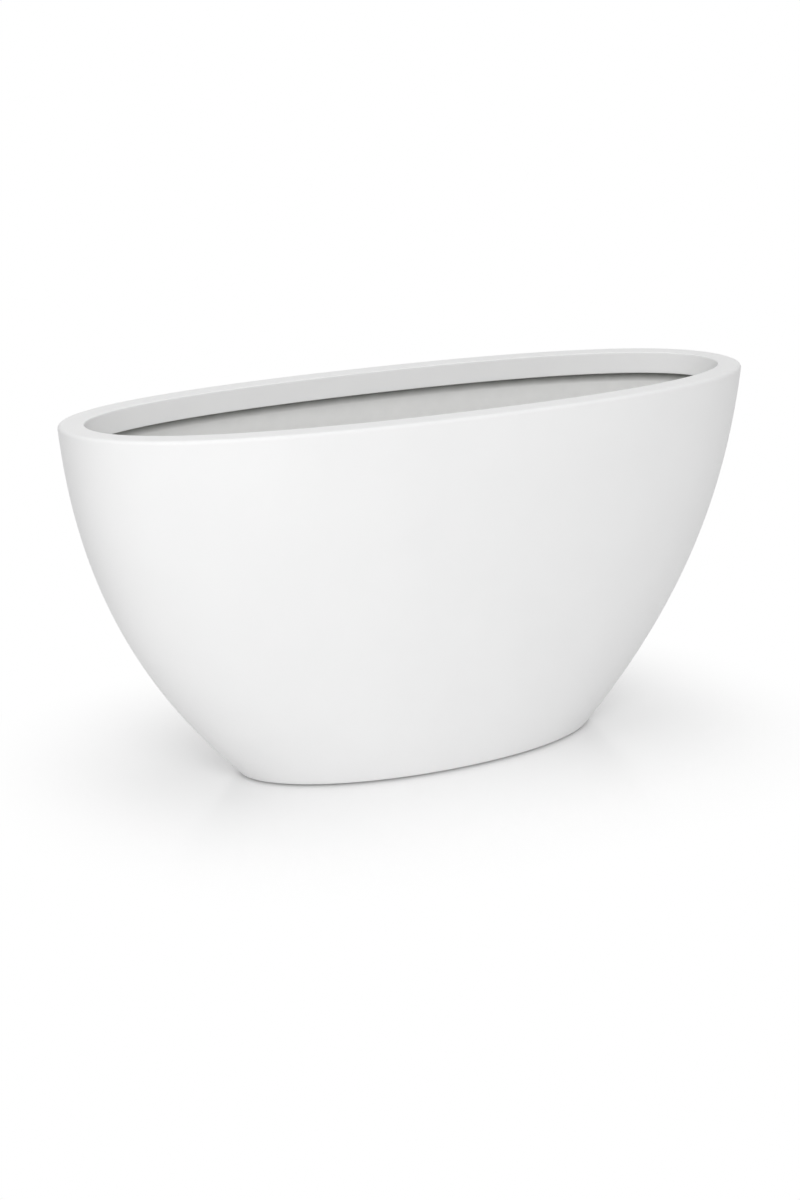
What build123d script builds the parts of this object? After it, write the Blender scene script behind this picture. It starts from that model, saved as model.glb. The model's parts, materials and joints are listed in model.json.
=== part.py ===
from build123d import *
import os
from math import hypot

# Oval planter bowl. Millimetres, +Z up, +X along the long axis.
# The origin is in the middle of the bowl, on the ground that the pads stand on.

# Outer body, from the underside of the foot to the top of the rim
bowl_length = 860.0
bowl_width = 302.0
bowl_height = 420.0
foot_length = 458.0
foot_width = 204.0

# Shape of the flare: share of the growth from foot to rim at one and two thirds of the height
flare_low = 0.711
flare_high = 0.944

# Roundness of the plan: reach of a quarter outline's handles along the side and the end
rim_side_reach = 0.60
rim_end_reach = 0.70
foot_side_reach = 0.62
foot_end_reach = 0.48

# Shell laminate
shell_wall = 5.0
shell_floor = 6.0
foot_edge_radius = 2.0
inside_corner_radius = 14.0

# Rim collar: flat land, lip turned down inside, flange bonded to the shell
land_width = 28.0
lip_depth = 26.0
collar_wall = 5.0
flange_depth = 22.0
arris_radius = 4.0
lip_edge_radius = 1.5
bond_gap = 1.5

# Drain holes and their rubber stoppers
drain_radius = 12.5
drain_spacing = 220.0
stopper_clearance = 0.08
stopper_head_radius = 18.0
stopper_head_height = 3.0
stopper_head_edge = 1.0
stopper_tip = 1.0
stopper_tip_chamfer = 0.8
tab_length = 16.0
tab_width = 5.0
tab_height = 11.0
tab_corner_radius = 5.0

# Foot pads: two at the ends and four along the sides
pad_radius = 14.0
pad_height = 3.0
pad_edge_radius = 0.6
pad_edge_inset = 26.0
end_pad_station = 0.0
side_pad_station = 0.58

# Levels that follow from the sizes
foot_z = pad_height
floor_z = foot_z + shell_floor
land_underside_z = bowl_height - collar_wall
shell_top_z = land_underside_z - bond_gap
flange_bottom_z = bowl_height - flange_depth
lip_bottom_z = bowl_height - lip_depth
body_height = bowl_height - foot_z
flange_outer_inset = shell_wall + bond_gap
flange_inner_inset = flange_outer_inset + collar_wall
lip_outer_inset = land_width - collar_wall
quadrants = ((1, 1), (-1, 1), (-1, -1), (1, -1))
touching = 0.001


def cubic(values, t):
    """Value of a cubic with four control values."""
    a, b, c, d = values
    s = 1 - t
    return a * s**3 + 3 * b * s * s * t + 3 * c * s * t * t + d * t**3


def cubic_slope(values, t):
    """Change of that cubic per unit of t."""
    a, b, c, d = values
    s = 1 - t
    return 3 * ((b - a) * s * s + 2 * (c - b) * s * t + (d - c) * t * t)


def cubic_through(values):
    """Control values of the cubic that passes four evenly spaced values."""
    a, b, c, d = values
    return [a, (-5 * a + 18 * b - 9 * c + 2 * d) / 6, (2 * a - 9 * b + 18 * c - 5 * d) / 6, d]


def flare(foot_size, rim_size):
    """Half of a plan size at the four control heights of the outer face."""
    growth = rim_size - foot_size
    shares = (0, flare_low, flare_high, 1)
    return [(foot_size + share * growth) / 2 for share in shares]


def handles(foot_reach, rim_reach, half_sizes):
    """Handle positions at the control heights, for reaches that grade from foot to rim."""
    return [
        (foot_reach + (rim_reach - foot_reach) * step / 3) * half
        for step, half in enumerate(half_sizes)
    ]


def outer_net():
    """Outer face as four columns over the height: half length, side handle, end handle, half width."""
    half_lengths = flare(foot_length, bowl_length)
    half_widths = flare(foot_width, bowl_width)
    side_handles = handles(foot_side_reach, rim_side_reach, half_lengths)
    end_handles = handles(foot_end_reach, rim_end_reach, half_widths)
    return half_lengths, side_handles, end_handles, half_widths


def control_points(section, z):
    """Control points of a quarter outline, from its end to its side."""
    half_length, side_handle, end_handle, half_width = section
    return [
        (half_length, 0, z),
        (half_length, end_handle, z),
        (side_handle, half_width, z),
        (0, half_width, z),
    ]


def outline_point(section, station):
    """Point of a quarter outline; station 0 is its end and 1 its side."""
    xs, ys, _ = zip(*control_points(section, 0))
    return Vector(cubic(xs, station), cubic(ys, station), 0)


def outline_normal(section, station):
    """Outward direction of a quarter outline."""
    xs, ys, _ = zip(*control_points(section, 0))
    return Vector(cubic_slope(ys, station), -cubic_slope(xs, station), 0).normalized()


def inset_point(station, t, inset):
    """Point of a level section, moved in by a thickness that is measured square to the face."""
    net = outer_net()
    section = [cubic(column, t) for column in net]
    growth = [cubic_slope(column, t) / body_height for column in net]
    normal = outline_normal(section, station)
    flare_slope = outline_point(growth, station).dot(normal)
    return outline_point(section, station) - normal * inset * hypot(1, flare_slope)


def inset_net(inset):
    """Columns of a face that runs parallel to the outer face, inset inside it."""
    sections = []
    for step in range(4):
        t = step / 3
        half_length = inset_point(0, t, inset).X
        half_width = inset_point(1, t, inset).Y
        middle = inset_point(0.5, t, inset)
        side_handle = (middle.X - half_length / 2) * 8 / 3
        end_handle = (middle.Y - half_width / 2) * 8 / 3
        sections.append((half_length, side_handle, end_handle, half_width))
    return [cubic_through(column) for column in zip(*sections)]


def mirrored(points):
    """A quarter's control points in all four quarters."""
    return [[(x * mx, y * my, z) for x, y, z in points] for mx, my in quadrants]


def level_face(section, z):
    """Flat face inside a level section."""
    return Face(Wire([Edge.make_bezier(*points) for points in mirrored(control_points(section, z))]))


def body(inset=0.0):
    """Solid from the foot to the rim, with its flared side inset inside the outer face."""
    sections = list(zip(*inset_net(inset)))
    levels = [foot_z + body_height * step / 3 for step in range(4)]
    rows = [mirrored(control_points(section, z)) for section, z in zip(sections, levels)]
    sides = [Face.make_bezier_surface(list(patch)) for patch in zip(*rows)]
    ends = [level_face(sections[0], levels[0]), level_face(sections[-1], levels[-1])]
    return Solid(Shell([*sides, *ends]))


def standing(shape, z):
    """A shape that is centred on the origin, stood with its underside at a level."""
    return Pos(0, 0, z - shape.bounding_box().min.Z) * shape


def between(shape, low, high):
    """The part of a shape that lies between two levels."""
    return shape & standing(Box(2 * bowl_length, 2 * bowl_width, high - low), low)


def rim_prism(inset, low, high):
    """Upright prism whose outline runs parallel to the rim."""
    section = list(zip(*inset_net(inset)))[-1]
    return extrude(level_face(section, low), amount=high - low, dir=(0, 0, 1))


def bowl_shell():
    """Flared wall and floor in one laminate, with its drain holes."""
    outside = between(body(), 0, shell_top_z)
    outside = fillet(outside.edges().group_by(Axis.Z)[0], foot_edge_radius)
    hollow = between(body(shell_wall), floor_z, bowl_height)
    hollow = fillet(hollow.edges().group_by(Axis.Z)[0], inside_corner_radius)
    shell = outside - hollow
    for x in drain_places():
        shell -= Pos(x, 0, foot_z + shell_floor / 2) * Cylinder(drain_radius, 2 * shell_floor)
    return shell


def rim_collar():
    """Land, lip and bonding flange of the rim, moulded in one."""
    land = between(body(), land_underside_z, bowl_height)
    land = fillet(land.edges().group_by(Axis.Z)[-1], arris_radius)
    flange_ring = body(flange_outer_inset) - body(flange_inner_inset)
    flange = between(flange_ring, flange_bottom_z, land_underside_z)
    lip = rim_prism(lip_outer_inset, lip_bottom_z, land_underside_z)
    mouth = rim_prism(land_width, lip_bottom_z, bowl_height)
    collar = land + flange + lip - mouth
    level_edges = collar.edges().filter_by(lambda edge: edge.bounding_box().size.Z < touching)
    mouth_edges = level_edges.filter_by(lambda edge: edge.distance_to(mouth) < touching)
    return fillet(mouth_edges, lip_edge_radius)


def rim_bond():
    """Bead of bonding paste, over the shell's top edge and down behind the flange."""
    bead = between(body() - body(flange_outer_inset), shell_top_z, land_underside_z)
    skirt = between(body(shell_wall) - body(flange_outer_inset), flange_bottom_z, shell_top_z)
    return bead + skirt


def drain_places():
    """Places of the drain holes along the long axis."""
    return -drain_spacing / 2, drain_spacing / 2


def drain_stopper():
    """Rubber stopper: a head on the floor, a shank through the hole and a tab to pull it by."""
    head = standing(Cylinder(stopper_head_radius, stopper_head_height), floor_z)
    head = fillet(head.edges().group_by(Axis.Z)[-1], stopper_head_edge)
    shank = Cylinder(drain_radius - stopper_clearance, shell_floor + stopper_tip)
    shank = standing(shank, foot_z - stopper_tip)
    shank = chamfer(shank.edges().group_by(Axis.Z)[0], stopper_tip_chamfer)
    tab = Box(tab_length, tab_width, tab_height)
    tab = fillet(tab.edges().filter_by(Axis.Y).group_by(Axis.Z)[-1], tab_corner_radius)
    tab = standing(tab, floor_z + stopper_head_height)
    return head + shank + tab


def foot_pad_places():
    """Centres of the pads, set in from the edge of the foot."""
    foot = [column[0] for column in outer_net()]
    places = []
    for station in (end_pad_station, side_pad_station):
        centre = outline_point(foot, station) - outline_normal(foot, station) * pad_edge_inset
        for mirror_x, mirror_y in quadrants:
            place = (mirror_x * centre.X, mirror_y * centre.Y)
            if place not in places:
                places.append(place)
    return places


def foot_pad(x, y):
    """Round pad glued under the floor."""
    pad = Pos(x, y, 0) * standing(Cylinder(pad_radius, pad_height), 0)
    return fillet(pad.edges().group_by(Axis.Z)[0], pad_edge_radius)


os.makedirs("parts", exist_ok=True)
export_step(bowl_shell(), "parts/bowl_shell.step")
export_step(rim_collar(), "parts/rim_collar.step")
export_step(rim_bond(), "parts/rim_bond.step")
for side, x in zip(("left", "right"), drain_places()):
    export_step(Pos(x, 0, 0) * drain_stopper(), f"parts/drain_stopper_{side}.step")
for number, (x, y) in enumerate(foot_pad_places(), start=1):
    export_step(foot_pad(x, y), f"parts/foot_pad_{number}.step")
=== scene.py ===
import json
import math

import bmesh
import bpy
from bpy.props import FloatProperty, FloatVectorProperty, IntProperty, PointerProperty
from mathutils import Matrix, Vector, noise

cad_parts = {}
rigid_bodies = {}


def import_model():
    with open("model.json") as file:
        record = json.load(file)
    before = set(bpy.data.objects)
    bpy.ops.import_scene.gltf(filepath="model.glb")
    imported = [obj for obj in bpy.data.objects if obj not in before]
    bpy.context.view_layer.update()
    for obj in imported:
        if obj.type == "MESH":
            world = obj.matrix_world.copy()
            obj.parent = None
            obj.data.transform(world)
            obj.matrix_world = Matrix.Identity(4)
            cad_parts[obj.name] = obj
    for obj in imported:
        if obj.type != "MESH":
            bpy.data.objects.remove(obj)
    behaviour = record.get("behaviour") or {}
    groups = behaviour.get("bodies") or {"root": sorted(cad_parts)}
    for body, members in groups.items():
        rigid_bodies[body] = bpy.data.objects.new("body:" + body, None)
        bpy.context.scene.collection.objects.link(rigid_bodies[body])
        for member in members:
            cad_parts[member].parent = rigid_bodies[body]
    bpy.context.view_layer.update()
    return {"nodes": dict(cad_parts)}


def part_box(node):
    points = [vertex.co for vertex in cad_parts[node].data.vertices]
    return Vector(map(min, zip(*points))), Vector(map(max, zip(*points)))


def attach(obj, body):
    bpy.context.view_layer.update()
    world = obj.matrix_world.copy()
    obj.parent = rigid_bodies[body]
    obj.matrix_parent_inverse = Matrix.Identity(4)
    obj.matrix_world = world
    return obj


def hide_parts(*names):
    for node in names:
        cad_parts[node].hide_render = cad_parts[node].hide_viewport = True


bl_info = {
    "name": "Oval Planter Bowl",
    "version": (1, 0, 0),
    "blender": (4, 5, 0),
    "location": "View3D > Sidebar > Planter",
    "description": "An oval planter bowl in sprayed fibre laminate, with its rim, stoppers and pads",
    "category": "Add Mesh",
}

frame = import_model()

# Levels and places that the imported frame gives, in metres
foot_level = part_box("bowl_shell")[0].z
shell_top_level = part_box("bowl_shell")[1].z
shell_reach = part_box("bowl_shell")[1]
lip_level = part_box("rim_collar")[0].z
rim_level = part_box("rim_collar")[1].z
flange_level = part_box("rim_bond")[0].z
bond_top_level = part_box("rim_bond")[1].z
stopper_boxes = {side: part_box(f"drain_stopper_{side}") for side in ("left", "right")}
pad_names = sorted(name for name in frame["nodes"] if name.startswith("foot_pad_"))

# A turn counts quarters. Angles are in radians above the outward horizontal.
full_turn = 4
tiny = 1e-5
down = -math.pi / 2
upward = math.pi / 2
inward = math.pi


def linear(code):
    """Linear colour of an sRGB hex code."""
    channels = [int(code[place:place + 2], 16) / 255 for place in (1, 3, 5)]
    return [c / 12.92 if c <= 0.04045 else ((c + 0.055) / 1.055) ** 2.4 for c in channels]


def length(name, description, default):
    """Property for one length."""
    return FloatProperty(name=name, description=description, default=default, min=0, unit="LENGTH")


def share(name, description, default):
    """Property for one share of something."""
    return FloatProperty(
        name=name, description=description, default=default, min=0, max=1, subtype="FACTOR"
    )


def colour(name, description, code):
    """Property for one colour, given as an sRGB hex code."""
    return FloatVectorProperty(
        name=name, description=description, default=linear(code), min=0, max=1, size=3, subtype="COLOR"
    )


class PlanterShape(bpy.types.PropertyGroup):
    """Sizes of the bowl."""

    bowl_length: length("Bowl length", "Length over the rim before its arris is rounded", 0.860)
    bowl_width: length("Bowl width", "Width over the rim before its arris is rounded", 0.302)
    foot_length: length("Foot length", "Length of the foot", 0.458)
    foot_width: length("Foot width", "Width of the foot", 0.204)
    flare_low: share("Low flare", "Share of the growth at the lower control height", 0.711)
    flare_high: share("High flare", "Share of the growth at the upper control height", 0.944)
    rim_side_reach: share("Rim side reach", "Straightness of the rim's long sides", 0.60)
    rim_end_reach: share("Rim end reach", "Bluntness of the rim's ends", 0.70)
    foot_side_reach: share("Foot side reach", "Straightness of the foot's long sides", 0.62)
    foot_end_reach: share("Foot end reach", "Bluntness of the foot's ends", 0.48)
    wall: length("Wall", "Thickness of the shell's wall", 0.005)
    floor: length("Floor", "Thickness of the shell's floor", 0.006)
    foot_radius: length("Foot edge radius", "Rounding round the underside", 0.002)
    corner_radius: length("Inside corner radius", "Rounding between floor and wall", 0.014)
    land: length("Land", "Width of the flat rim", 0.028)
    collar_wall: length("Collar wall", "Thickness of the rim's land, lip and flange", 0.005)
    arris_radius: length("Arris radius", "Rounding of the rim's outer edge", 0.004)
    lip_radius: length("Lip edge radius", "Rounding of the lip's edges", 0.0015)
    bond: length("Bond", "Thickness of the bonding paste", 0.0015)
    drain_radius: length("Drain radius", "Radius of the drain holes", 0.0125)
    relief: length("Laminate relief", "Height of the hand-laid unevenness inside", 0.0003)
    columns: IntProperty(name="Columns", description="Faces round the oval", default=288, min=32)


class PlanterFinish(bpy.types.PropertyGroup):
    """Colours of the finishes."""

    coat: colour("Coat", "Sprayed coat of the shell and the rim", "#F5F5F5")
    # Painted light: the inner coat is set a little lighter than the outer coat, to brighten the hollow.
    lightened_inner_coat: colour("Inner coat", "Coat over the bare laminate inside", "#F8F8F7")
    # Painted shade: this grey darkens the band under the lip and the channel behind it, given as bare
    # laminate.
    laminate: colour("Laminate", "Bare grey laminate that the spray doesn't reach under the lip", "#8A8B88")
    paste: colour("Paste", "Cured bonding paste", "#DEDBD2")
    stopper: colour("Stopper", "Moulded rubber of the stoppers", "#1B1B1C")
    pad: colour("Pad", "Rubber of the foot pads", "#3A3A3B")


def cubic(values, t):
    """Value of a cubic with four control values."""
    a, b, c, d = values
    s = 1 - t
    return a * s**3 + 3 * b * s * s * t + 3 * c * s * t * t + d * t**3


def cubic_slope(values, t):
    """Change of that cubic per unit of t."""
    a, b, c, d = values
    s = 1 - t
    return 3 * ((b - a) * s * s + 2 * (c - b) * s * t + (d - c) * t * t)


def graded(low, high):
    """Four values that change evenly from foot to rim."""
    return [low + (high - low) * i / 3 for i in range(4)]


def outer_net(shape):
    """Outer face as four columns over the height: half length, side handle, end handle, half width."""
    shares = (0, shape.flare_low, shape.flare_high, 1)
    half_lengths = [(shape.foot_length + s * (shape.bowl_length - shape.foot_length)) / 2 for s in shares]
    half_widths = [(shape.foot_width + s * (shape.bowl_width - shape.foot_width)) / 2 for s in shares]
    side_reaches = graded(shape.foot_side_reach, shape.rim_side_reach)
    end_reaches = graded(shape.foot_end_reach, shape.rim_end_reach)
    side_handles = [reach * half for reach, half in zip(side_reaches, half_lengths)]
    end_handles = [reach * half for reach, half in zip(end_reaches, half_widths)]
    return half_lengths, side_handles, end_handles, half_widths


def around(section, turn):
    """Point and outward direction of an oval section; the turn counts quarters from the +X end."""
    quarter = int(turn)
    station = turn - quarter
    if quarter % 2:
        station = 1 - station
    mirror = Vector((1 if quarter in (0, 3) else -1, 1 if quarter < 2 else -1, 0))
    half_length, side_handle, end_handle, half_width = section
    xs = (half_length, half_length, side_handle, 0)
    ys = (0, end_handle, half_width, half_width)
    point = Vector((cubic(xs, station), cubic(ys, station), 0)) * mirror
    normal = Vector((cubic_slope(ys, station), -cubic_slope(xs, station), 0)) * mirror
    return point, normal.normalized()


def ring(shape, level, inset, z=None, radius=0.0, start=None, end=None, part=0.0):
    """Points round the oval on a face that runs inset inside the outer face at a level.

    z stands the ring at another height. A radius moves it round an edge that is centred there, a part of
    the way from a start to an end angle above the horizontal; None is square to the outer face.
    """
    height = rim_level - foot_level
    rise = (level - foot_level) / height
    net = outer_net(shape)
    section = [cubic(column, rise) for column in net]
    growth = [cubic_slope(column, rise) / height for column in net]
    centre_z = level if z is None else z
    points = []
    for column in range(shape.columns):
        turn = full_turn * column / shape.columns
        point, normal = around(section, turn)
        slope = around(growth, turn)[0].dot(normal)
        square = -math.atan(slope)
        first = square if start is None else start
        last = square if end is None else end
        angle = first + (last - first) * part
        point -= normal * (inset * math.hypot(1, slope) - radius * math.cos(angle))
        point.z = centre_z + radius * math.sin(angle)
        points.append(point)
    return points


def rounding(shape, level, inset, radius, start, end, steps, z=None):
    """Rings round an edge whose centre lies inset inside the outer face at a level."""
    return [ring(shape, level, inset, z, radius, start, end, step / steps) for step in range(steps + 1)]


def upright(shape, inset, low, high, steps):
    """Rings of a plain upright face that runs parallel to the rim."""
    return [ring(shape, rim_level, inset, low + (high - low) * step / steps) for step in range(steps + 1)]


def flared(shape, inset, low, high, steps):
    """Rings of a face that runs parallel to the flared outer face."""
    return [ring(shape, low + (high - low) * step / steps, inset) for step in range(steps + 1)]


def direction(azimuth, elevation):
    """Unit vector towards an azimuth, which is 0 in front, and an elevation, both in radians."""
    reach = math.cos(elevation)
    return Vector((math.sin(azimuth) * reach, -math.cos(azimuth) * reach, math.sin(elevation)))


def clear_selection():
    """Leaves nothing selected, so that an operator acts on the new piece alone."""
    for item in bpy.context.view_layer.objects:
        item.select_set(False)


def rolled(name, rings, closed):
    """Grid rolled round the oval, one row of vertices for each ring, and welded to itself."""
    rows = [*rings, rings[0]] if closed else rings
    columns = len(rows[0])
    clear_selection()
    bpy.ops.mesh.primitive_grid_add(x_subdivisions=columns, y_subdivisions=len(rows) - 1, size=2)
    piece = bpy.context.object
    piece.name = piece.data.name = name
    for vertex in piece.data.vertices:
        column = round((vertex.co.x + 1) / 2 * columns) % columns
        row = round((vertex.co.y + 1) / 2 * (len(rows) - 1))
        vertex.co = rows[row][column]
    bpy.ops.object.mode_set(mode="EDIT")
    bpy.ops.mesh.select_all(action="SELECT")
    bpy.ops.mesh.remove_doubles(threshold=tiny)
    bpy.ops.mesh.normals_make_consistent(inside=False)
    bpy.ops.object.mode_set(mode="OBJECT")
    return piece


def pick(piece, kind, test):
    """In edit mode, selects just the edges or faces that pass a test."""
    bpy.ops.mesh.select_mode(type=kind)
    bpy.ops.mesh.select_all(action="DESELECT")
    mesh = bmesh.from_edit_mesh(piece.data)
    for item in mesh.faces if kind == "FACE" else mesh.edges:
        if test(item):
            item.select_set(True)
    bmesh.update_edit_mesh(piece.data)


def at_level(edge, level):
    """True if both ends of an edge lie at a level."""
    return all(abs(vertex.co.z - level) < tiny for vertex in edge.verts)


def away(edge, x):
    """Distance of an edge's farther end from an upright axis on the long axis."""
    return max(math.hypot(vertex.co.x - x, vertex.co.y) for vertex in edge.verts)


def quarter_turn(steps=6):
    """Angles of a quarter turn, from none to a right angle."""
    return [math.pi / 2 * step / steps for step in range(steps + 1)]


def spun(name, outline, x, y, steps):
    """Round piece turned from an outline of radius and height about an upright axis."""
    clear_selection()
    bpy.ops.mesh.primitive_plane_add(size=1)
    piece = bpy.context.object
    piece.name = piece.data.name = name
    bpy.ops.object.mode_set(mode="EDIT")
    bpy.ops.mesh.delete(type="VERT")
    mesh = bmesh.from_edit_mesh(piece.data)
    points = [mesh.verts.new((x + radius, y, z)) for radius, z in outline]
    for first, second in zip(points, points[1:]):
        mesh.edges.new((first, second))
    bmesh.update_edit_mesh(piece.data)
    bpy.ops.mesh.select_all(action="SELECT")
    bpy.ops.mesh.spin(steps=steps, angle=2 * math.pi, center=(x, y, 0), axis=(0, 0, 1))
    bpy.ops.mesh.select_all(action="SELECT")
    bpy.ops.mesh.remove_doubles(threshold=tiny)
    bpy.ops.mesh.normals_make_consistent(inside=False)
    bpy.ops.object.mode_set(mode="OBJECT")
    return piece


def settle(piece, body, materials, smooth_degrees=35):
    """Shades a finished piece, gives it its materials and lets it ride on its body."""
    clear_selection()
    piece.select_set(True)
    bpy.context.view_layer.objects.active = piece
    bpy.ops.object.transform_apply(location=True, rotation=True, scale=True)
    bpy.ops.object.shade_smooth_by_angle(angle=math.radians(smooth_degrees))
    for material in materials:
        piece.data.materials.append(material)
    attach(piece, body)


def add(tree, kind, settings=(), **inputs):
    """Adds a node; an input given as another node's output is linked, and any other value is set.

    An input goes by its name, with _ for a space, or by _ and its number.
    """
    made = tree.nodes.new("ShaderNode" + kind)
    for name, value in dict(settings).items():
        setattr(made, name, value)
    for name, value in inputs.items():
        socket = made.inputs[int(name[1:])] if name[0] == "_" else made.inputs[name.replace("_", " ")]
        if isinstance(value, bpy.types.NodeSocket):
            tree.links.new(value, socket)
        else:
            socket.default_value = value
    return made


def blank(name):
    """New material with an empty tree and its output node."""
    material = bpy.data.materials.new(name)
    material.use_nodes = True
    tree = material.node_tree
    tree.nodes.clear()
    return material, tree, tree.nodes.new("ShaderNodeOutputMaterial")


def rgba(colour_value, factor=1.0):
    """Colour with alpha, made darker by a factor."""
    return [channel * factor for channel in colour_value] + [1.0]


def grain(tree, place, size, detail=2.0):
    """Noise whose lumps are about as wide as a real size in metres."""
    return add(tree, "TexNoise", Vector=place, Scale=1 / size, Detail=detail).outputs["Fac"]


def spread(tree, value, low, high, new_low, new_high):
    """Value moved from one range to another."""
    made = add(tree, "MapRange", Value=value, From_Min=low, From_Max=high, To_Min=new_low, To_Max=new_high)
    return made.outputs["Result"]


def from_noise(tree, value, low, high):
    """Noise, which mostly keeps between 0.3 and 0.7, moved to another range."""
    return spread(tree, value, 0.3, 0.7, low, high)


def tinted(tree, value, first, second):
    """Colour between two colours."""
    made = add(tree, "Mix", {"data_type": "RGBA"}, Factor=value, _6=first, _7=second)
    return made.outputs[2]


def sprayed_coat(finish):
    """Polyurethane sprayed matt over sanded gelcoat: even white, a soft sheen, a trace of orange peel."""
    material, tree, output = blank("sprayed_matt_coat")
    place = add(tree, "TexCoord").outputs["Object"]
    cloud = grain(tree, place, 0.09)
    peel = grain(tree, place, 0.0022)
    tone = tinted(tree, from_noise(tree, cloud, 0, 1), rgba(finish.coat, 0.985), rgba(finish.coat))
    rough = from_noise(tree, peel, 0.50, 0.58)
    relief = add(tree, "Bump", Strength=0.12, Distance=0.0002, Height=peel)
    shader = add(
        tree, "BsdfPrincipled", Base_Color=tone, Roughness=rough, IOR=1.47, Normal=relief.outputs["Normal"]
    )
    tree.links.new(shader.outputs["BSDF"], output.inputs["Surface"])
    return material


def laminate_coat_and_lip_shade(finish):
    """Strand laminate sprayed white: strands and a fine grit show; under the lip a bare grey stands in as
    painted shade.
    """
    material, tree, output = blank("coated_strand_laminate_and_lip_shade")
    place = add(tree, "TexCoord").outputs["Object"]
    level = add(tree, "SeparateXYZ", _0=place).outputs["Z"]
    strand_width = 0.0016
    strand_length = 0.030
    squeeze = strand_width / strand_length
    # Painted shade: from a little under the lip upward the coat fades to bare grey, darkening the gap where
    # the lip's shade falls.
    lip_shade_waver = 0.0004
    lip_shade_begins = lip_level - 0.014
    lip_shade_full = lip_level - 0.005
    relief = None
    for turn_y, turn_z in ((0.3, 0.2), (1.1, 0.9), (-0.7, 1.6), (-1.3, 0.5)):
        turned = add(
            tree, "Mapping", _0=place, Rotation=(0, turn_y, turn_z), Scale=(squeeze, 1, 1)
        ).outputs["Vector"]
        strand = grain(tree, turned, strand_width, 0.0)
        if relief is None:
            relief = strand
        else:
            relief = add(tree, "Math", {"operation": "MAXIMUM"}, _0=relief, _1=strand).outputs["Value"]
    grit = grain(tree, place, 0.0012)
    lumps = grain(tree, place, 0.018)
    height = add(tree, "Math", {"operation": "MULTIPLY_ADD"}, _0=grit, _1=0.35, _2=relief).outputs["Value"]
    cloud = from_noise(tree, lumps, 0, 1)
    coat = tinted(tree, cloud, rgba(finish.lightened_inner_coat, 0.97), rgba(finish.lightened_inner_coat))
    waver = from_noise(tree, lumps, -lip_shade_waver, lip_shade_waver)
    edge = add(tree, "Math", {"operation": "ADD"}, _0=level, _1=waver).outputs["Value"]
    # Share of painted shade: 0 well below the lip, 1 (bare grey) from just under it upward.
    bare = spread(tree, edge, lip_shade_begins, lip_shade_full, 0, 1)
    tone = tinted(tree, bare, coat, rgba(finish.laminate))
    bump = add(tree, "Bump", Strength=0.35, Distance=0.0006, Height=height)
    shader = add(
        tree,
        "BsdfPrincipled",
        Base_Color=tone,
        Roughness=spread(tree, height, 0.4, 1.2, 0.72, 0.6),
        IOR=1.47,
        Normal=bump.outputs["Normal"],
    )
    tree.links.new(shader.outputs["BSDF"], output.inputs["Surface"])
    return material


def bonding_paste(finish):
    """Filled polyester paste, cured and left as squeezed: off-white and dull, with small pores."""
    material, tree, output = blank("cured_bonding_paste")
    place = add(tree, "TexCoord").outputs["Object"]
    pore_size = 0.003
    pores = add(tree, "TexVoronoi", Vector=place, Scale=1 / pore_size).outputs["Distance"]
    lumps = grain(tree, place, 0.006)
    # Painted shade: the paste is darker at the pores' centres, where shade falls in their hollows.
    tone = tinted(tree, spread(tree, pores, 0.05, 0.3, 0, 1), rgba(finish.paste, 0.7), rgba(finish.paste))
    height = add(tree, "Math", {"operation": "ADD"}, _0=pores, _1=lumps).outputs["Value"]
    bump = add(tree, "Bump", Strength=0.4, Distance=0.0005, Height=height)
    shader = add(
        tree, "BsdfPrincipled", Base_Color=tone, Roughness=0.75, IOR=1.54, Normal=bump.outputs["Normal"]
    )
    tree.links.new(shader.outputs["BSDF"], output.inputs["Surface"])
    return material


def moulded_rubber(name, colour_value, bloom, roughness):
    """Moulded rubber: near black, dull, with a pale bloom in patches and the fine grain of its mould."""
    material, tree, output = blank(name)
    place = add(tree, "TexCoord").outputs["Object"]
    patches = grain(tree, place, 0.007, 4.0)
    skin = grain(tree, place, 0.0007)
    pale = [channel + bloom for channel in colour_value]
    tone = tinted(tree, spread(tree, patches, 0.35, 0.7, 0, 1), rgba(colour_value), rgba(pale))
    bump = add(tree, "Bump", Strength=0.3, Distance=0.00015, Height=skin)
    shader = add(
        tree,
        "BsdfPrincipled",
        Base_Color=tone,
        Roughness=from_noise(tree, patches, roughness, roughness + 0.12),
        IOR=1.52,
        Normal=bump.outputs["Normal"],
    )
    tree.links.new(shader.outputs["BSDF"], output.inputs["Surface"])
    return material


def lay_unevenly(piece, shape):
    """Moves the inner wall in and out a little, as a hand-laid laminate is never quite even."""
    lump = 0.045
    fade_height = 0.02
    moves = []
    for vertex in inner_vertices(piece):
        below_rim = (flange_level - vertex.co.z) / fade_height
        above_floor = (vertex.co.z - foot_level - shape.floor) / fade_height
        fade = max(0, min(1, below_rim, above_floor))
        moves.append((vertex, vertex.normal * (shape.relief * fade * noise.noise(vertex.co / lump))))
    for vertex, move in moves:
        vertex.co += move


def faces_inside(polygon):
    """True for a face of the hollow: it looks at the long axis or up from the floor."""
    centre = polygon.center
    radial = Vector((centre.x / shell_reach.x**2, centre.y / shell_reach.y**2, 0))
    looks_in = polygon.normal.dot(radial) < -tiny and centre.z > foot_level + tiny
    looks_up = polygon.normal.z > 0.7 and centre.z < lip_level
    return looks_in or looks_up


def inner_vertices(piece):
    """Vertices that belong to faces of the hollow only."""
    outer = set()
    inner = set()
    for polygon in piece.data.polygons:
        (inner if faces_inside(polygon) else outer).update(polygon.vertices)
    return [piece.data.vertices[index] for index in inner - outer]


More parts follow.
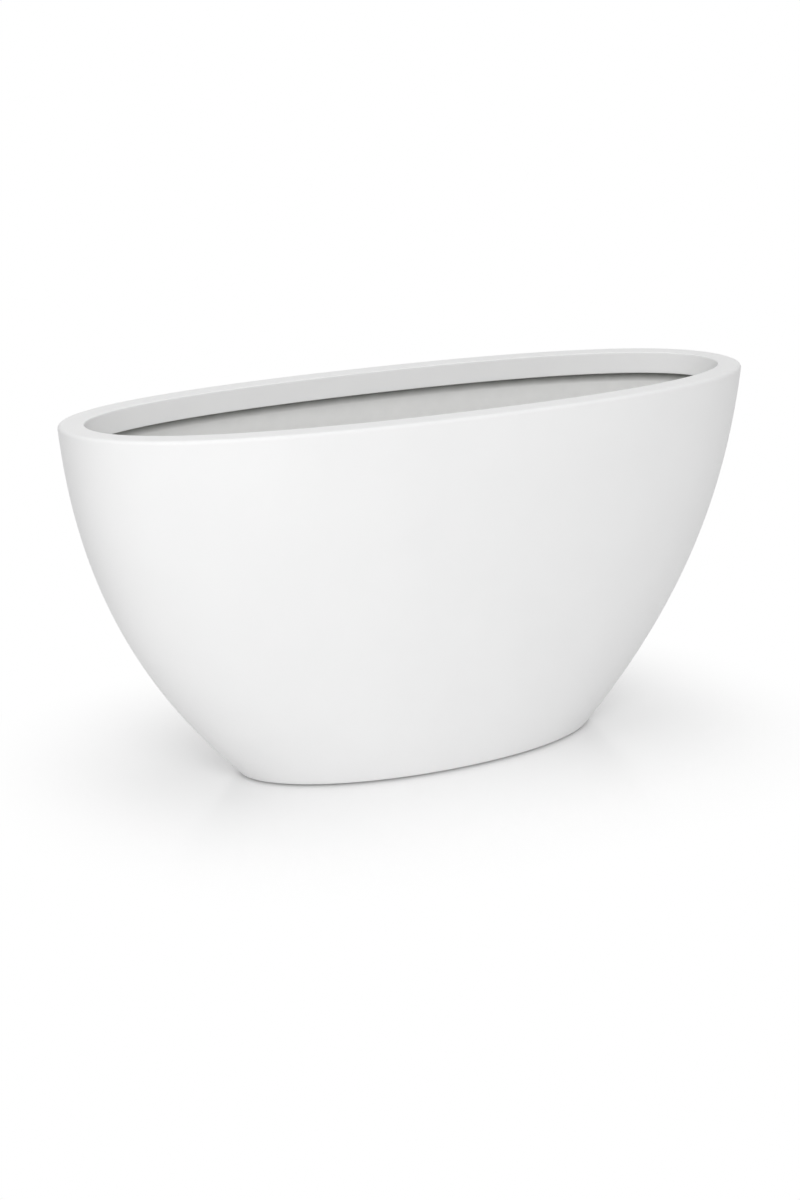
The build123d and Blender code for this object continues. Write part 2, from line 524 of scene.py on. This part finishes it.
class PLANTER_OT_shell(bpy.types.Operator):
    """Flared shell: outer wall, foot, hollow and drain holes in one laminate"""

    bl_idname = "planter.shell"
    bl_label = "Bowl shell"

    def execute(self, context):
        shape = context.scene.planter_shape
        finish = context.scene.planter_finish
        floor_level = foot_level + shape.floor
        inner_centre = floor_level + shape.corner_radius
        corner_inset = shape.wall + shape.corner_radius
        support = 0.002
        wall_start = foot_level + shape.foot_radius + support
        outer_rows = 44
        inner_rows = 42
        hole_corners = 64
        hole_bevel = 0.0005
        rings = [
            ring(shape, foot_level + shape.foot_radius, shape.foot_radius + support, z=foot_level),
            *rounding(
                shape, foot_level + shape.foot_radius, shape.foot_radius, shape.foot_radius, down, None, 5
            ),
            *flared(shape, 0, wall_start, shell_top_level, outer_rows),
            *reversed(flared(shape, shape.wall, inner_centre + support, shell_top_level, inner_rows)),
            *rounding(shape, inner_centre, corner_inset, shape.corner_radius, None, down, 8),
            ring(shape, inner_centre, corner_inset + support, z=floor_level),
        ]
        piece = rolled("shell_skin", rings, closed=False)
        bpy.ops.object.mode_set(mode="EDIT")
        places = [(low.x + high.x) / 2 for low, high in stopper_boxes.values()]
        for level in (foot_level, floor_level):
            for x in places:
                bpy.ops.mesh.primitive_circle_add(
                    vertices=hole_corners, radius=shape.drain_radius, location=(x, 0, level)
                )
            pick(piece, "EDGE", lambda edge: not edge.is_manifold and at_level(edge, level))
            bpy.ops.mesh.fill()
        for x in places:
            pick(piece, "EDGE", lambda edge: edge.is_boundary and away(edge, x) < shape.drain_radius + tiny)
            bpy.ops.mesh.bridge_edge_loops()
        bpy.ops.mesh.select_all(action="SELECT")
        bpy.ops.mesh.normals_make_consistent(inside=False)
        for x in places:
            pick(
                piece,
                "EDGE",
                lambda edge: abs(away(edge, x) - shape.drain_radius) < tiny
                and (at_level(edge, foot_level) or at_level(edge, floor_level)),
            )
            bpy.ops.mesh.bevel(offset=hole_bevel, segments=2, affect="EDGES")
        bpy.ops.object.mode_set(mode="OBJECT")
        lay_unevenly(piece, shape)
        settle(piece, "bowl", [sprayed_coat(finish), laminate_coat_and_lip_shade(finish)])
        # The hollow takes the laminate material, whose grey band at the top is painted shade under the lip.
        for polygon in piece.data.polygons:
            polygon.material_index = 1 if faces_inside(polygon) else 0
        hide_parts("bowl_shell")
        return {"FINISHED"}


class PLANTER_OT_collar(bpy.types.Operator):
    """Rim collar: flat land, soft outer arris, lip turned down inside and bonding flange"""

    bl_idname = "planter.collar"
    bl_label = "Rim collar"

    def execute(self, context):
        shape = context.scene.planter_shape
        finish = context.scene.planter_finish
        land_under = rim_level - shape.collar_wall
        arris_centre = rim_level - shape.arris_radius
        lip_centre = shape.land - shape.lip_radius
        lip_back = shape.land - shape.collar_wall
        flange_outer = shape.wall + shape.bond
        flange_inner = flange_outer + shape.collar_wall
        back_edge = 0.001
        land_insets = (0.006, 0.010, 0.015, 0.020, 0.0245)
        seen = [
            ring(shape, land_under, 0),
            *rounding(shape, arris_centre, shape.arris_radius, shape.arris_radius, None, upward, 10),
            *(ring(shape, rim_level, inset) for inset in land_insets),
            *rounding(
                shape, rim_level, lip_centre, shape.lip_radius, upward, inward, 6,
                rim_level - shape.lip_radius,
            ),
            *upright(
                shape, shape.land, rim_level - 2 * shape.lip_radius, lip_level + 2 * shape.lip_radius, 6
            ),
            *rounding(
                shape, rim_level, lip_centre, shape.lip_radius, inward, inward + upward, 6,
                lip_level + shape.lip_radius,
            ),
        ]
        unseen = [
            *rounding(
                shape, rim_level, lip_back + back_edge, back_edge, inward + upward, 2 * inward, 4,
                lip_level + back_edge,
            ),
            *upright(shape, lip_back, lip_level + 2 * back_edge, land_under, 5),
            ring(shape, land_under, (lip_back + flange_inner) / 2),
            *reversed(flared(shape, flange_inner, flange_level, land_under, 4)),
            *flared(shape, flange_outer, flange_level, land_under, 4),
            ring(shape, land_under, shape.wall),
        ]
        piece = rolled("rim_skin", [*seen, *unseen], closed=True)
        settle(piece, "bowl", [sprayed_coat(finish), laminate_coat_and_lip_shade(finish)])
        # The hidden channel behind the lip takes the laminate material, which paints it all grey as painted
        # shade in the gap.
        for polygon in piece.data.polygons:
            polygon.material_index = 1 if polygon.index // shape.columns >= len(seen) else 0
        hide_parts("rim_collar")
        return {"FINISHED"}


class PLANTER_OT_bond(bpy.types.Operator):
    """Bonding paste: over the shell's top edge, down behind the flange and out below it"""

    bl_idname = "planter.bond"
    bl_label = "Rim bond"

    def execute(self, context):
        shape = context.scene.planter_shape
        finish = context.scene.planter_finish
        skirt = shape.wall + shape.bond
        support = 0.001
        bead_width = 0.0022
        lump = 0.03
        usual_swell = 0.75
        uneven_swell = 0.45
        bead = rounding(
            shape, flange_level, shape.wall + bead_width, bead_width, inward, 2 * inward, 8
        )
        for points in bead:
            for point in points:
                swell = usual_swell + uneven_swell * noise.noise(point / lump)
                point.z = flange_level + (point.z - flange_level) * swell
        rings = [
            *flared(shape, 0, shell_top_level, bond_top_level, 1),
            *reversed(flared(shape, skirt, flange_level, bond_top_level, 5)),
            *bead,
            *flared(shape, shape.wall, flange_level + support, shell_top_level, 4),
        ]
        piece = rolled("bond_bead", rings, closed=True)
        settle(piece, "bowl", [sprayed_coat(finish), bonding_paste(finish)])
        for polygon in piece.data.polygons:
            hidden = polygon.center.z < shell_top_level - tiny
            polygon.material_index = 1 if hidden else 0
        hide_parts("rim_bond")
        return {"FINISHED"}


class PLANTER_OT_stoppers(bpy.types.Operator):
    """Drain stoppers: ribbed shank, rounded head and a pull tab with a moulded panel"""

    bl_idname = "planter.stoppers"
    bl_label = "Drain stoppers"

    def execute(self, context):
        shape = context.scene.planter_shape
        finish = context.scene.planter_finish
        rubber = moulded_rubber("stopper_rubber", finish.stopper, 0.012, 0.48)
        clearance = 0.00008
        chamfer = 0.0008
        rib_heights = (0.0022, 0.0042)
        groove = 0.0005
        head_height = 0.003
        head_edge = 0.001
        low_edge = 0.0004
        dish_rim = 0.003
        dish_floor = 0.0036
        dish_depth = 0.0004
        boss_foot = 0.0104
        boss_top = 0.0098
        tab_sunk = 0.001
        for side, (low, high) in stopper_boxes.items():
            x = (low.x + high.x) / 2
            floor_level = foot_level + shape.floor
            head_radius = (high.x - low.x) / 2
            head_top = floor_level + head_height
            shank = shape.drain_radius - clearance
            outline = [(0, low.z), (shank - chamfer, low.z), (shank, low.z + chamfer)]
            for rib in rib_heights:
                rib_z = low.z + rib
                outline += [
                    (shank, rib_z), (shank - groove, rib_z + groove),
                    (shank - groove, rib_z + 2 * groove), (shank, rib_z + 3 * groove),
                ]
            outline += [
                (shank, floor_level), (head_radius - low_edge, floor_level),
                (head_radius, floor_level + low_edge),
            ]
            for angle in quarter_turn():
                outline.append((
                    head_radius - head_edge + head_edge * math.cos(angle),
                    head_top - head_edge + head_edge * math.sin(angle),
                ))
            outline += [
                (head_radius - dish_rim, head_top), (head_radius - dish_floor, head_top - dish_depth),
                (boss_foot, head_top - dish_depth), (boss_top, head_top), (0, head_top),
            ]
            piece = spun(f"stopper_{side}_body", outline, x, 0, 64)
            tab = self.pull_tab(x, head_top - tab_sunk, high.z)
            clear_selection()
            bpy.context.view_layer.objects.active = piece
            piece.select_set(True)
            union = piece.modifiers.new("join_tab", "BOOLEAN")
            union.operation = "UNION"
            union.object = tab
            bpy.ops.object.modifier_apply(modifier=union.name)
            bpy.data.objects.remove(tab)
            settle(piece, f"stopper_{side}", [rubber])
            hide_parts(f"drain_stopper_{side}")
        return {"FINISHED"}

    def pull_tab(self, x, low, high):
        """Upright tab with a rounded top and a sunk panel on both faces."""
        width = 0.016
        thickness = 0.005
        top_radius = 0.005
        panel_margin = 0.0022
        panel_slope = 0.0005
        panel_depth = 0.0006
        arris = 0.0006
        clear_selection()
        bpy.ops.mesh.primitive_cube_add(size=1, location=(x, 0, (low + high) / 2))
        bpy.ops.transform.resize(value=(width, thickness, high - low))
        tab = bpy.context.object
        bpy.ops.object.transform_apply(location=True, rotation=True, scale=True)
        bpy.ops.object.mode_set(mode="EDIT")
        pick(
            tab, "EDGE",
            lambda edge: at_level(edge, high) and abs(edge.verts[0].co.y - edge.verts[1].co.y) > tiny,
        )
        bpy.ops.mesh.bevel(offset=top_radius, segments=8, affect="EDGES")
        pick(tab, "FACE", lambda face: abs(face.normal.y) > 0.9)
        bpy.ops.mesh.inset(thickness=panel_margin)
        bpy.ops.mesh.inset(thickness=panel_slope, depth=-panel_depth)
        pick(
            tab, "EDGE",
            lambda edge: all(abs(abs(v.co.y) - thickness / 2) < tiny for v in edge.verts)
            and edge.calc_face_angle(0) > 1 and max(v.co.z for v in edge.verts) > low + tiny,
        )
        bpy.ops.mesh.bevel(offset=arris, segments=3, affect="EDGES")
        bpy.ops.object.mode_set(mode="OBJECT")
        return tab


class PLANTER_OT_pads(bpy.types.Operator):
    """Foot pads: round rubber pads with a soft lower edge and two grooves underneath"""

    bl_idname = "planter.pads"
    bl_label = "Foot pads"

    def execute(self, context):
        finish = context.scene.planter_finish
        rubber = moulded_rubber("pad_rubber", finish.pad, 0.02, 0.62)
        edge = 0.0006
        groove_depth = 0.0004
        groove_floor = 0.0010
        groove_width = 0.0014
        for name in pad_names:
            low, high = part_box(name)
            radius = (high.x - low.x) / 2
            outline = [(0, low.z)]
            for ring_radius in (radius * 0.35, radius * 0.65):
                outline += [
                    (ring_radius, low.z), (ring_radius + groove_depth, low.z + groove_depth),
                    (ring_radius + groove_floor, low.z + groove_depth), (ring_radius + groove_width, low.z),
                ]
            for angle in quarter_turn():
                outline.append((
                    radius - edge + edge * math.sin(angle), low.z + edge - edge * math.cos(angle)
                ))
            outline += [(radius, high.z), (0, high.z)]
            piece = spun(f"{name}_disc", outline, (low.x + high.x) / 2, (low.y + high.y) / 2, 48)
            settle(piece, "bowl", [rubber])
            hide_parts(name)
        return {"FINISHED"}


class PLANTER_OT_stage(bpy.types.Operator):
    """White studio floor, soft lamps, pale surroundings and the camera"""

    bl_idname = "planter.stage"
    bl_label = "Stage"

    def execute(self, context):
        self.floor()
        self.surroundings(context.scene)
        self.lamps()
        self.camera(context.scene)
        context.scene.view_settings.view_transform = "Standard"
        return {"FINISHED"}

    def backdrop_seen(self, tree):
        """1 where the camera, a gloss or a clear surface looks, so that each shows the white backdrop."""
        path = add(tree, "LightPath").outputs
        seen = add(
            tree, "Math", {"operation": "MAXIMUM"}, _0=path["Is Camera Ray"], _1=path["Is Glossy Ray"]
        )
        seen = add(
            tree, "Math", {"operation": "MAXIMUM"}, _0=seen.outputs["Value"], _1=path["Is Transmission Ray"]
        )
        return seen.outputs["Value"]

    def floor(self):
        """Pale, faintly glossy floor that takes the shadow and turns to plain white away from the bowl."""
        floor_radius = 9
        shadow_core = (0.17, 0.05, 0)
        fade_start = 0.03
        fade_end = 0.36
        camera_glow = 0.06
        clear_selection()
        bpy.ops.mesh.primitive_circle_add(vertices=128, radius=floor_radius, fill_type="NGON")
        floor = bpy.context.object
        floor.name = "studio_floor"
        material, tree, output = blank("white_floor")
        place = add(tree, "TexCoord").outputs["Object"]
        folded = add(tree, "VectorMath", {"operation": "ABSOLUTE"}, _0=place).outputs["Vector"]
        past = add(
            tree, "VectorMath", {"operation": "SUBTRACT"}, _0=folded, _1=shadow_core
        ).outputs["Vector"]
        past = add(tree, "VectorMath", {"operation": "MAXIMUM"}, _0=past, _1=(0, 0, 0)).outputs["Vector"]
        distance = add(tree, "VectorMath", {"operation": "LENGTH"}, _0=past).outputs["Value"]
        far = add(
            tree, "MapRange", {"interpolation_type": "SMOOTHSTEP"},
            Value=distance, From_Min=fade_start, From_Max=fade_end,
        ).outputs["Result"]
        seen = self.backdrop_seen(tree)
        white = add(tree, "Math", {"operation": "MULTIPLY"}, _0=far, _1=seen).outputs["Value"]
        lift = add(tree, "Math", {"operation": "MULTIPLY"}, _0=seen, _1=camera_glow).outputs["Value"]
        surface = add(tree, "BsdfPrincipled", Base_Color=(0.95, 0.95, 0.95, 1), Roughness=0.2, IOR=1.45)
        glow = add(tree, "Emission", Strength=lift)
        lifted = add(tree, "AddShader", _0=surface.outputs["BSDF"], _1=glow.outputs["Emission"])
        plain = add(tree, "Emission", Strength=1.0)
        mixed = add(tree, "MixShader", _0=white, _1=lifted.outputs["Shader"], _2=plain.outputs["Emission"])
        tree.links.new(mixed.outputs["Shader"], output.inputs["Surface"])
        floor.data.materials.append(material)

    def surroundings(self, scene):
        """White for the camera, and a dimmer even light for everything else."""
        scene.world = bpy.data.worlds.new("studio")
        scene.world.use_nodes = True
        tree = scene.world.node_tree
        tree.nodes.clear()
        output = tree.nodes.new("ShaderNodeOutputWorld")
        even_light = 0.47
        dim = add(tree, "Background", Strength=even_light)
        white = add(tree, "Background", Strength=1.0)
        dim.inputs["Color"].default_value = (1, 1, 1, 1)
        white.inputs["Color"].default_value = (1, 1, 1, 1)
        mixed = add(
            tree, "MixShader", _0=self.backdrop_seen(tree),
            _1=dim.outputs["Background"], _2=white.outputs["Background"],
        )
        tree.links.new(mixed.outputs["Shader"], output.inputs["Surface"])

    def lamps(self):
        """Two large soft lamps: one in front and one overhead."""
        self.lamp("key_lamp", -30, 28, 35)
        self.lamp("top_lamp", 0, 89.9, 16)

    def lamp(self, name, azimuth, elevation, power):
        """Square soft lamp that faces the bowl from a direction given in degrees."""
        distance = 3.0
        side = 1.6
        data = bpy.data.lights.new(name, "AREA")
        data.size = side
        data.energy = power
        lamp = bpy.data.objects.new(name, data)
        bpy.context.scene.collection.objects.link(lamp)
        back = direction(math.radians(azimuth), math.radians(elevation))
        lamp.location = Vector((0, 0, rim_level / 2)) + back * distance
        lamp.rotation_euler = (-back).to_track_quat("-Z", "Y").to_euler()

    def camera(self, scene):
        """Camera at the photograph's viewing angle."""
        azimuth = math.radians(-30.3383)
        elevation = math.radians(16.2981)
        distance = 2.78103
        focal_pixels = 2424.4
        picture_height = 1200
        aim_right = -0.0224625
        aim_up = -0.0338857
        back = direction(azimuth, elevation)
        right = Vector((math.cos(azimuth), math.sin(azimuth), 0))
        up = back.cross(right)
        data = bpy.data.cameras.new("camera")
        data.sensor_width = 36
        data.lens = data.sensor_width * focal_pixels / picture_height
        camera = bpy.data.objects.new("camera", data)
        scene.collection.objects.link(camera)
        camera.location = Vector((0, 0, rim_level / 2)) + right * aim_right + up * aim_up + back * distance
        camera.rotation_euler = (-back).to_track_quat("-Z", "Y").to_euler()
        scene.camera = camera


class PLANTER_PT_panel(bpy.types.Panel):
    """Lists the steps, the sizes and the colours"""

    bl_label = "Oval planter"
    bl_idname = "PLANTER_PT_panel"
    bl_space_type = "VIEW_3D"
    bl_region_type = "UI"
    bl_category = "Planter"

    def draw(self, context):
        layout = self.layout
        for operator in operators:
            layout.operator(operator.bl_idname)
        for group in (context.scene.planter_shape, context.scene.planter_finish):
            box = layout.box()
            for name in group.__annotations__:
                box.prop(group, name)


operators = (
    PLANTER_OT_shell,
    PLANTER_OT_collar,
    PLANTER_OT_bond,
    PLANTER_OT_stoppers,
    PLANTER_OT_pads,
    PLANTER_OT_stage,
)
classes = (PlanterShape, PlanterFinish, *operators, PLANTER_PT_panel)


def register():
    """Registers the classes and hangs the two property groups on the scene."""
    for item in classes:
        bpy.utils.register_class(item)
    bpy.types.Scene.planter_shape = PointerProperty(type=PlanterShape)
    bpy.types.Scene.planter_finish = PointerProperty(type=PlanterFinish)


def unregister():
    """Takes the property groups and the classes away again."""
    del bpy.types.Scene.planter_finish
    del bpy.types.Scene.planter_shape
    for item in reversed(classes):
        bpy.utils.unregister_class(item)


def main():
    """Builds every piece and the stage."""
    register()
    bpy.ops.planter.shell()
    bpy.ops.planter.collar()
    bpy.ops.planter.bond()
    bpy.ops.planter.stoppers()
    bpy.ops.planter.pads()
    bpy.ops.planter.stage()


if __name__ == "__main__":
    main()
